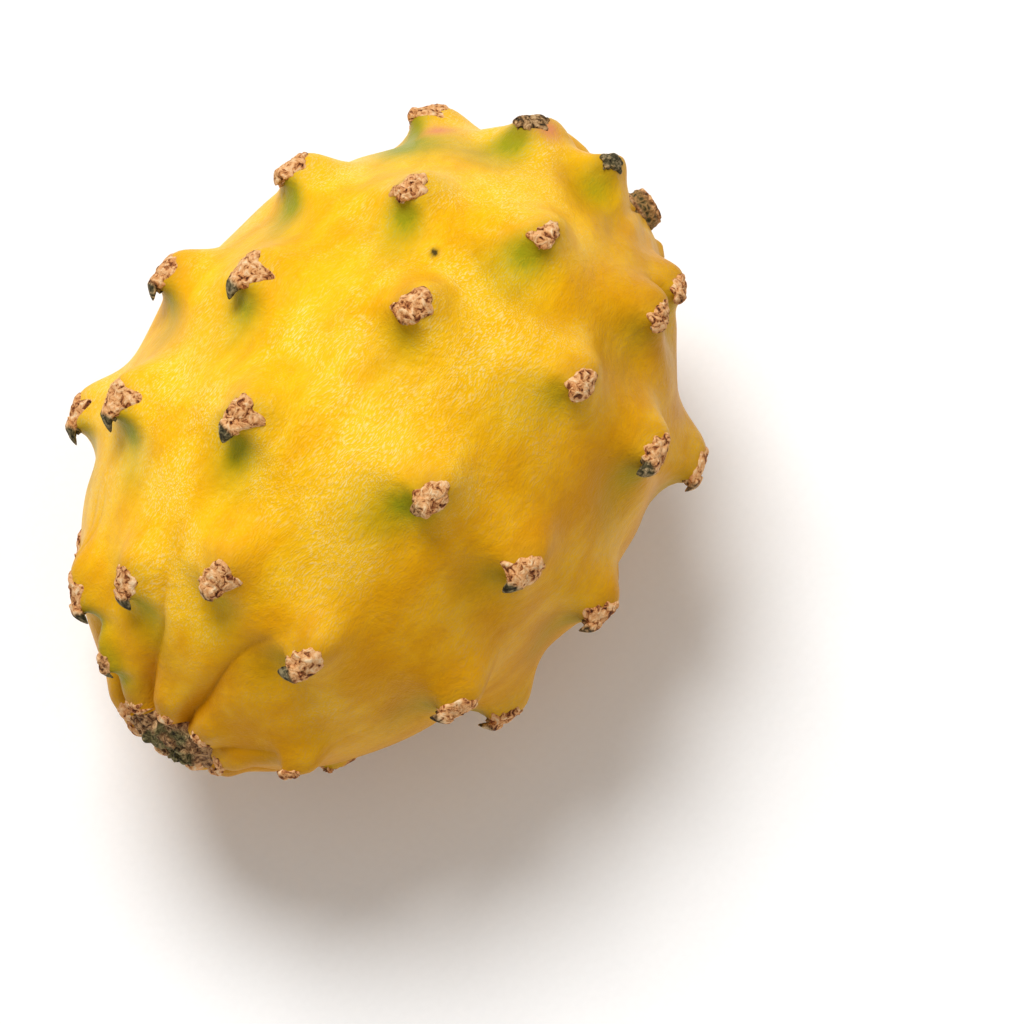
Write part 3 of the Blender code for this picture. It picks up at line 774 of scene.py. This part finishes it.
def patch_shells(spots, outline, thickness, relief):
    """Closed lens shaped patches on the skin, one for each spot.

    A patch is drawn in rings from its middle to its outline and back underneath. outline(spot, angle)
    gives its reach along the skin at an angle from the way to the flower end, and the top stands
    thickness above the skin, rough by relief and falling steeply at the edge. The second result is
    the share of the front edge at each point, and the third that of the horny end towards the claw.
    """
    angle = angles(HOOK_COLUMNS)
    share, beneath = rings(np.linspace(0.06, 1.0, HOOK_ROWS))
    phi, theta = [], []
    for spot in spots:
        metric, radius = skin_length(np.array(spot["phi"]))
        reach = outline(spot, angle)
        phi.append(spot["phi"] - share * reach * np.cos(angle) / metric)
        theta.append(spot["theta"] + share * reach * np.sin(angle) / radius)
    point, normal = skin_frame(np.array(phi), np.array(theta))
    rough = 0.75 * (noise(point, 1.3 * MM) - 0.45) + 0.75 * (0.5 - ridged(point, 0.7 * MM) ** 3)
    lift = thickness * (1.0 - share ** 8) + relief * rough * (1.0 - share ** 6) - PATCH_EDGE
    lift = np.where(beneath, -PATCH_UNDER, lift)
    front = above(np.cos(angle), 0.1, 0.12) * above(share, 0.68, 0.08)
    aims = each(spots, "aim")[:, None, None]
    ragged = 0.5 * (noise(point, 0.9 * MM) - 0.5)
    horn = above(np.cos(angle - aims), 0.72, 0.07) * above(share, 0.55 + ragged, 0.06)
    return point + normal * lift[..., None], front + 0 * lift, horn


def colour(name, description, code):
    """A colour that a user may change, its default from an sRGB hex code."""
    return FloatVectorProperty(name=name, description=description, default=linear(code), subtype="COLOR")


class FruitLook(bpy.types.PropertyGroup):
    """Sizes and colours of the fruit's finish."""

    claw_length: FloatProperty(
        name="Claw length", description="How far the horny claw reaches over the lip of a full size hook",
        default=2.55 * MM, min=0.0, unit="LENGTH")
    cork_thickness: FloatProperty(
        name="Cork thickness", description="How far the cork stands above the rind", default=0.42 * MM,
        min=0.0, unit="LENGTH")
    cork_relief: FloatProperty(
        name="Cork relief", description="Height of the flakes and pits of the cork", default=0.44 * MM,
        min=0.0, unit="LENGTH")
    rind_roughness: FloatProperty(
        name="Rind roughness", description="How dull the waxy rind is", default=0.38, min=0.0, max=1.0,
        subtype="FACTOR")
    gold: colour("Gold", "Rind where it is fully ripe", "FBBF10")
    deep_gold: colour("Deep gold", "Darker patches of the rind", "F4B008")
    lemon: colour("Lemon", "Lighter patches of the rind", "FFC920")
    # Painted shade colour, laid in the folds, creases and hollows and on the side turned from the key light
    shade_amber: colour("Amber", "Rind down in the folds", "CD8A06")
    green: colour("Green", "Unripe rind under the hooks", "999812")
    scorch: colour("Scorch", "Rind turning brown round the cork", "B07A28")
    blush: colour("Blush", "Reddish patch by the highest hooks", "E08A60")
    cork: colour("Cork", "Dry cork of the hooks", "DA9A5F")
    cork_pale: colour("Pale cork", "Ridges of the cork", "EDB982")
    cork_dark: colour("Dark cork", "Hollows of the cork", "96562E")
    claw: colour("Claw", "Horny tip of a hook", "50482F")
    scar: colour("Scar", "Withered tissue of the flower scar", "675C36")


class StageLook(bpy.types.PropertyGroup):
    """Floor and light."""

    floor: colour("Floor", "Colour of the floor", "FFFFFF")
    key_power: FloatProperty(
        name="Key light", description="Power of the large soft light at the upper left", default=19.2,
        min=0.0, unit="POWER")
    fill_power: FloatProperty(
        name="Fill light", description="Power of the weak light at the lower right", default=0.4,
        min=0.0, unit="POWER")
    sky: FloatProperty(
        name="Surround", description="Brightness of the even light from all round", default=0.41,
        min=0.0)


# Green under the hooks that show: (share, millimetres towards growing theta)
GREENS = {
    (6, 1): (1.6, 2.5), (3, 2): (1.3, 1.5), (4, 2): (1.2, 0.8), (0, 0): (1.1, 0.5), (1, 0): (0.7, 0.8),
    (5, 2): (1.3, -0.5), (-3, 1): (1.3, 0.5), (-4, 1): (1.3, 1.0), (-5, 1): (1.0, 1.5),
    (-7, 2): (1.2, 1.5), (-6, 2): (0.8, 0.5), (-5, 2): (0.7, -0.5), (-2, 1): (1.6, -1.0),
    (2, 0): (0.8, -1.0), (-8, 0): (0.2, 0.0), (-1, 0): (0.9, 1.0), (7, 1): (1.5, 0.2),
    (8, 1): (0.6, 1.2), (-8, 2): (1.3, 1.0), ("late", 0): (0.8, 0.0),
}
# More patches: tint, tubercle, distance from its lip along and across, reach (millimetres) and share
PATCHES = (
    ("blush", (6, 1), 0.6, 6.6, 1.9, 1.0), ("blush", (7, 1), -1.3, 2.0, 1.5, 1.0),
    ("green", (6, 1), 6.0, 9.0, 5.2, 0.8), ("green", (7, 1), 2.6, 0.5, 2.4, 0.22),
    ("green", (8, 1), 2.5, 1.0, 3.0, 0.20), ("green", (3, 2), 4.0, 1.5, 2.6, 0.25),
    ("green", (-3, 1), 4.5, 1.2, 2.4, 0.35), ("green", (5, 2), 3.6, -1.0, 2.4, 0.25),
    ("green", (4, 2), 3.0, 1.0, 2.4, 0.25), ("green", (0, 0), 4.0, 1.0, 2.2, 0.25),
    ("green", (-4, 1), 3.5, 1.5, 2.2, 0.3), ("green", ("late", 0), -0.8, 0.8, 1.8, 0.3),
)
# A dark speck on the side that shows: phi and theta
SPECK = (math.radians(111.2), math.radians(82.3))
SPECK_REACH = 0.55 * MM
LIGHT_WAY = np.array([0.15, 0.60, 0.79])     # roughly the way to the key light; the side turned from it gets painted shade


def rind_tints(phi, theta):
    """Shares of the tints at each point of the rind: bells placed by the hooks, and painted shade in the
    folds and creases, in the hollow in front of each lip and on the side turned from the key light."""
    tints = {key: np.zeros_like(phi) for key in ("green", "scorch", "blush")}
    _, _, _, normal = body_frame(phi, theta)
    # Painted shade: dark orange gold in the folds and creases, and on the side turned from the key light
    deep = 0.7 * fold_wave(phi, theta) + 0.8 * crease(phi, theta)
    deep += 0.8 * above(-(normal @ LIGHT_WAY), -0.43, 0.13)
    draw = random.Random(3)
    for spot in WHORLED:
        size = spot["scale"] * MM
        along, across = local(spot, phi, theta)
        share, lean = GREENS.get(spot["key"], (draw.uniform(0.5, 0.9), draw.uniform(-1.2, 1.2)))
        # Strong green right under the lip, weaker further off, leaning to one side
        off = across - lean * along / 3.0
        width = 2.2 * MM + 0.35 * np.maximum(along, 0.0)
        tints["green"] += 0.75 * share * bell(along, off, 1.6 * MM, 2.8 * MM, width)
        tints["green"] += 0.28 * share * bell(along, off, 7.0 * size, 4.0 * MM, 5.0 * MM)
        tints["scorch"] += 0.45 * bell(along, across, -0.9 * size, 3.2 * size, 3.2 * size)
        # Painted shade in the hollow in front of each lip
        deep += 0.2 * bell(along, across, 6.5 * MM, 3.0 * MM, 7.0 * MM)
        for tint, key, at, over, reach, most in PATCHES:
            if key == spot["key"]:
                patch = bell(along, across - over * MM, at * MM, reach * MM, reach * MM)
                tints[tint] += most * patch
    for spot in RIM:
        tints["scorch"] += 0.6 * bell(*local(spot, phi, theta), -1.5 * MM, 2.2 * MM, 2.6 * MM)
    speck = dict(phi=SPECK[0], theta=SPECK[1])
    speck = 1.6 * bell(*local(speck, phi, theta), 0.0, SPECK_REACH, SPECK_REACH)
    return {key: values[None] for key, values in dict(tints, deep=deep, speck=speck).items()}


class DRAGONFRUIT_OT_rind(bpy.types.Operator):
    """Build the rind: the whole skin of the fruit as one closed surface"""

    bl_idname = "dragonfruit.rind"
    bl_label = "Rind"

    def execute(self, context):
        look = context.scene.fruit_look
        walk = np.linspace(0.0, 1.0, RIND_ROWS + 2)[1:-1]
        table, walked = skin_walk()
        rows = np.interp(walk * walked[-1], walked, table)
        phi, theta = np.meshgrid(rows, angles(RIND_COLUMNS), indexing="ij")
        tints = rind_tints(phi, theta)
        rind = closed_mesh("rind", [(skin(phi, theta)[None], tints)], rind_material(look))
        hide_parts("dragon_fruit")
        dressed(rind)
        return {"FINISHED"}


class DRAGONFRUIT_OT_cork_hooks(bpy.types.Operator):
    """Build the cork shield and the claw on every tubercle"""

    bl_idname = "dragonfruit.cork_hooks"
    bl_label = "Cork Hooks"

    def execute(self, context):
        look = context.scene.fruit_look
        draw = random.Random(21)
        for spot in WHORLED:
            drawn = (draw.uniform(0.5, 1.0), draw.uniform(-22, 22), draw.uniform(0.0, 1.0),
                     draw.uniform(0.0, 1.0))
            claw, aim, *arms = HOOKS.get(spot["key"], drawn)
            spot.update(
                claw=claw, aim=math.radians(aim), arms=arms, jag=draw.uniform(0.0, 90.0),
                sharp=min(1.0, max(0.0, 1.6 * claw - 0.6)), horny=HORNY.get(spot["key"], 0.0))

        def outline(spot, angle):
            """Shield: blunt behind, with an arm along the lip on each side, its edge ragged."""
            forward, sideways = np.cos(angle), np.sin(angle)
            length = np.where(forward > 0, SHIELD_FRONT, SHIELD_BEHIND)
            blunt = (np.abs(forward) / length) ** SHIELD_POWER
            blunt = blunt + (np.abs(sideways) / SHIELD_SIDE) ** SHIELD_POWER
            reach = blunt ** (-1 / SHIELD_POWER)
            for way, arm in zip(ARM_WAYS, spot["arms"]):
                off = (angle - way + math.pi) % TURN - math.pi
                reach = reach + ARM_LENGTH * arm * np.exp(-((off / ARM_SPREAD) ** 2))
            size = spot["scale"] * CAPS.get(spot["key"], 1.0)
            return reach * size * (0.78 + 0.44 * ring_noise(angle, 3.0, spot["jag"], 0.7))

        shields, front, horn = patch_shells(WHORLED, outline, look.cork_thickness, look.cork_relief)
        sharp, horny = (each(WHORLED, key)[:, None, None] for key in ("sharp", "horny"))
        claws, tip = self.claws(look, sharp, horny)
        groups = [
            (shields, {"tip": np.maximum(horny, horn * sharp), "front": front}),
            (claws, {"tip": tip, "front": 0 * tip}),
        ]
        dressed(closed_mesh("cork_hooks", groups, cork_material(look)))
        return {"FINISHED"}

    def claws(self, look, sharp, horny):
        """Claws: a tapered tube of oval section that leaves the cork and bends down over the lip. The
        second result is how horny they are at each point."""
        phi, theta, scale, aim = (each(WHORLED, key) for key in ("phi", "theta", "scale", "aim"))
        length = look.claw_length * scale * each(WHORLED, "claw")
        metric, _ = skin_length(phi)
        root, _ = skin_frame(phi - 0.1 * MM * scale / metric, theta)
        _, forward, round_it, normal = body_frame(phi, theta)
        ahead = forward * np.cos(aim)[:, None] + round_it * np.sin(aim)[:, None]
        beside = np.cross(ahead, normal)
        walk = np.linspace(CLAW_START, CLAW_END, CLAW_ROWS)[None, :]
        drop = CLAW_DROP * np.maximum(walk, 0.0) ** 1.8 * length[:, None] + 0.05 * MM
        path = root[:, None] + ahead[:, None] * (walk * length[:, None])[..., None]
        path = (path - normal[:, None] * drop[..., None])[:, :, None]
        taper = np.clip(1.0 - np.maximum(walk, 0.0) ** 1.6, 0.0, 1.0) ** 0.6
        taper = (taper * np.clip((walk + 0.6) * 4, 0.1, 1.0))[..., None]
        angle = angles(CLAW_COLUMNS)
        size = scale[:, None, None] * taper
        wide, high = CLAW_WIDE * size * np.cos(angle), CLAW_HIGH * size * np.sin(angle)
        points = path + beside[:, None, None] * wide[..., None] + normal[:, None, None] * high[..., None]
        rough = CLAW_ROUGHNESS * (noise(points, 0.7 * MM) - 0.5) * taper
        points = points + (points - path) * rough[..., None]
        tip = np.maximum(np.clip(walk * 2.4 - 0.05, 0.0, 1.0)[..., None] * sharp, horny)
        return points, tip + np.zeros(points.shape[:3])


class DRAGONFRUIT_OT_flower_scar(bpy.types.Operator):
    """Build the rough disc where the flower was, and the cork on the ribs round it"""

    bl_idname = "dragonfruit.flower_scar"
    bl_label = "Flower Scar"

    def execute(self, context):
        look = context.scene.fruit_look
        theta = angles(SCAR_COLUMNS)
        edge = DISC_REACH * (0.93 + 0.16 * ring_noise(theta, 3.0, 0.0, 0.9))
        share, beneath = rings(np.linspace(0.03, 1.0, SCAR_ROWS))
        phi = share * edge[None, :]
        point, normal = skin_frame(phi, np.broadcast_to(theta, phi.shape))
        rough = 1.5 * (noise(point, 2.2 * MM) - 0.5) + 1.0 * (0.4 - ridged(point, 1.3 * MM) ** 2)
        rough = (rough + 0.5 * (noise(point, 0.55 * MM) - 0.5)) * MM * (1 - share ** 6)
        lift = DISC_THICKNESS * (1 - share ** 8) + DISC_DOME * (1 - share ** 2) + rough - 0.1 * MM
        lift = np.where(beneath, -DISC_UNDER, lift)
        disc = point + normal * lift[..., None]
        rim = np.broadcast_to(above(share, 0.8, 0.06), phi.shape)
        dressed(closed_mesh("flower_scar", [(disc[None], {"rim": rim[None]})], scar_material(look)))

        def outline(spot, angle):
            """A ragged oval, wider across the rib than along it."""
            oval = 1 / np.hypot(np.cos(angle) / RIM_CORK_LONG, np.sin(angle) / RIM_CORK_WIDE)
            return oval * (0.55 + 0.9 * ring_noise(angle, 3.0, spot["key"][1] * 7.3, 0.6))

        cork, front, _ = patch_shells(
            RIM, outline, RIM_CORK_SHARE * look.cork_thickness, RIM_CORK_SHARE * look.cork_relief)
        dressed(closed_mesh("rim_cork", [(cork, {"front": front})], cork_material(look)))
        return {"FINISHED"}


class DRAGONFRUIT_OT_stem_stub(bpy.types.Operator):
    """Build the short dry plug where the fruit was cut from its stem"""

    bl_idname = "dragonfruit.stem_stub"
    bl_label = "Stem Stub"

    def execute(self, context):
        look = context.scene.fruit_look
        base = skin(np.array([math.pi]), np.array([0.0]))[0]
        lean = math.sin(STUB_LEAN)
        axis = np.array([math.cos(STUB_LEAN), lean * math.cos(BOW_ANGLE), lean * math.sin(BOW_ANGLE)])
        side = unit(np.cross(axis, (0.0, 0.0, 1.0)))
        over = np.cross(side, axis)
        walk = np.linspace(0.0, 1.0, STUB_ROWS)[:, None]
        angle = angles(STUB_COLUMNS)[None, :]
        # The profile goes up the wall and then in over the end
        up = np.minimum(walk / STUB_WALL, 1.0)
        inward = np.clip((walk - STUB_WALL) / (1 - STUB_WALL), 0.0, 1.0)
        radius = STUB_RADIUS * (1.0 - 0.1 * up) * (1 - 0.97 * inward) + STUB_FLARE * (1 - up) ** 3
        height = -STUB_ROOT + STUB_LENGTH * up - STUB_CUP * np.sin(inward * math.pi)
        arm = np.cos(angle)[..., None] * side + np.sin(angle)[..., None] * over
        points = base + axis * height[..., None] + arm * radius[..., None]
        rough = 0.5 * (noise(points, 1.6 * MM) - 0.5) + 0.45 * (0.4 - ridged(points, 0.8 * MM) ** 2)
        outward = arm * (1 - inward)[..., None] + axis * inward[..., None]
        points = points + outward * (rough * MM)[..., None]
        # Tan round the top of the wall and in a ring a third of the way up it
        rim = np.exp(-((walk - 0.6) / 0.1) ** 2) + np.exp(-((walk - 0.22) / 0.05) ** 2) + 0 * angle
        dressed(closed_mesh("stem_stub", [(points[None], {"rim": rim[None]})], stub_material(look)))
        return {"FINISHED"}


class DRAGONFRUIT_OT_stage(bpy.types.Operator):
    """Build the pale floor, the soft lights and the camera"""

    bl_idname = "dragonfruit.stage"
    bl_label = "Stage"

    def execute(self, context):
        stage = context.scene.stage_look
        self.floor(stage)
        self.lights(stage)
        self.camera(context)
        context.scene.view_settings.view_transform = "Standard"
        return {"FINISHED"}

    def floor(self, stage):
        """A large flat floor of matt painted board."""
        made, shader, add, place = principled("matt_painted_board", {
            "Roughness": 0.9, "Specular IOR Level": 0.2})
        # A tooth of 1 mm, hardly to be seen
        tooth = add("TexNoise", {"Vector": place, "Scale": 900.0, "Detail": 2.0})
        fill(shader, {"Base Color": add("Mix", {0: tooth, 6: stage.floor, 7: "FAFAFA"})})
        half = FLOOR_HALF
        mesh = bpy.data.meshes.new("floor")
        corners = [(-half, -half, 0), (half, -half, 0), (half, half, 0), (-half, half, 0)]
        mesh.from_pydata(corners, [], [(0, 1, 2, 3)])
        mesh.materials.append(made)
        linked("floor", mesh)

    def lights(self, stage):
        """A large key at the picture's upper left, a weak fill at its lower right, and an even surround."""
        for name, (way, distance, size), power in (
            ("key", KEY_LIGHT, stage.key_power), ("fill", FILL_LIGHT, stage.fill_power),
        ):
            way = unit(np.array(way) @ CAMERA_AXES)
            light = bpy.data.lights.new(name, "AREA")
            light.shape = "DISK"
            light.size = size
            light.energy = power
            side = unit(np.cross((0.0, 0.0, 1.0), way))
            linked(name, light, (side, np.cross(way, side), way), way * distance + (0, 0, TABLE_DEPTH))
        world = bpy.data.worlds.new("surround")
        world.use_nodes = True
        fill(world.node_tree.nodes["Background"], {"Color": SURROUND_COLOUR, "Strength": stage.sky})
        bpy.context.scene.world = world

    def camera(self, context):
        """The camera stands off the fruit's long axis, moved sideways so that the fruit lies in the
        picture where the photograph has it."""
        right, up, back = CAMERA_AXES
        off_x, off_y = ((pixel - IMAGE_MIDDLE) / PIXELS_PER_METRE for pixel in FRUIT_PIXEL)
        data = bpy.data.cameras.new("camera")
        data.sensor_width = SENSOR_WIDTH
        data.lens = CAMERA_LENS
        position = -CENTRE - right * off_x + up * off_y + back * CAMERA_DISTANCE
        context.scene.camera = linked("camera", data, CAMERA_AXES, position)


class DRAGONFRUIT_PT_sidebar(bpy.types.Panel):
    """The fruit's pieces and its stage"""

    bl_label = "Dragon Fruit"
    bl_space_type = "VIEW_3D"
    bl_region_type = "UI"
    bl_category = "Dragon Fruit"

    def draw(self, context):
        for look in (context.scene.fruit_look, context.scene.stage_look):
            box = self.layout.box()
            for key in look.__annotations__:
                box.prop(look, key)
        for operator in OPERATORS:
            self.layout.operator(operator.bl_idname)


OPERATORS = (
    DRAGONFRUIT_OT_rind,
    DRAGONFRUIT_OT_cork_hooks,
    DRAGONFRUIT_OT_flower_scar,
    DRAGONFRUIT_OT_stem_stub,
    DRAGONFRUIT_OT_stage,
)
CLASSES = (FruitLook, StageLook, *OPERATORS, DRAGONFRUIT_PT_sidebar)


def register():
    for kind in CLASSES:
        bpy.utils.register_class(kind)
    bpy.types.Scene.fruit_look = PointerProperty(type=FruitLook)
    bpy.types.Scene.stage_look = PointerProperty(type=StageLook)


def unregister():
    del bpy.types.Scene.stage_look
    del bpy.types.Scene.fruit_look
    for kind in reversed(CLASSES):
        bpy.utils.unregister_class(kind)


def main():
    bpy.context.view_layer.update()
    register()
    bpy.ops.dragonfruit.rind()
    bpy.ops.dragonfruit.cork_hooks()
    bpy.ops.dragonfruit.flower_scar()
    bpy.ops.dragonfruit.stem_stub()
    bpy.ops.dragonfruit.stage()


if __name__ == "__main__":
    main()
